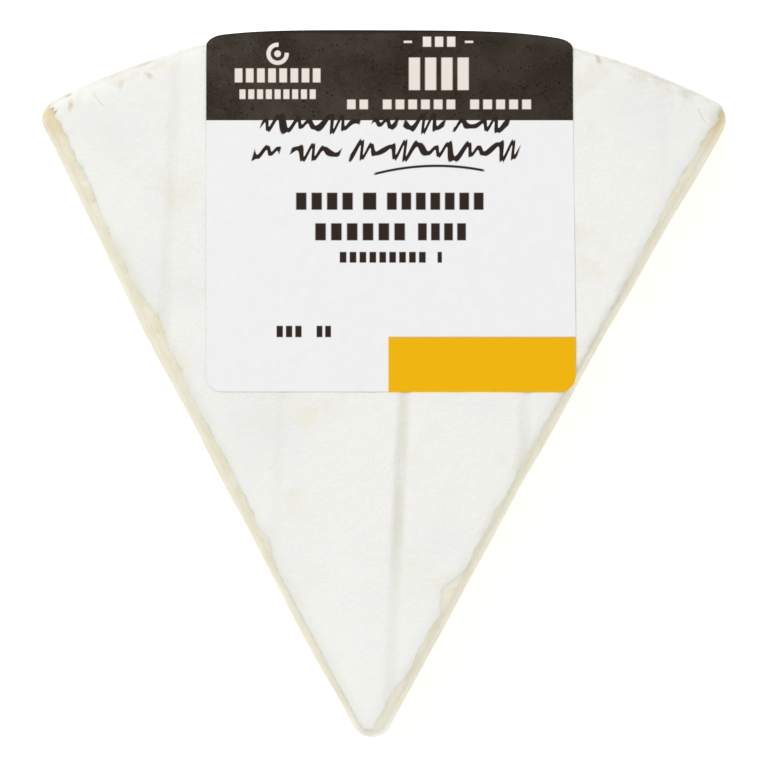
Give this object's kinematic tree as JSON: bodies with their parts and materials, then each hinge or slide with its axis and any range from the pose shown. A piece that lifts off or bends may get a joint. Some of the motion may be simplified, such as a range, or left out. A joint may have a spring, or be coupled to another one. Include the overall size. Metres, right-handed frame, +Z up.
{
  "type": "labelled brie wedge",
  "caption": "Wedge of soft white-rinded cheese cut from a round wheel, lying flat with a shop's paper label stuck on its upper rind.",
  "frame": {"origin": "under the middle of the part's box, on the surface that the lower rind rests on", "axes": "+X to the right of the wedge seen from above with its tip towards the viewer, +Y from the tip towards the wheel's curved side, +Z up through the label"},
  "size_m": [0.1088, 0.1119, 0.0285],
  "materials": {
    "white_rind": "soft matt white bloom, with cream paste showing at the cuts",
    "label_paper": "smooth coated paper with printed fields"
  },
  "bodies": {
    "root": {"brie_wedge": "white_rind", "label": "label_paper"}
  },
  "joints": []
}
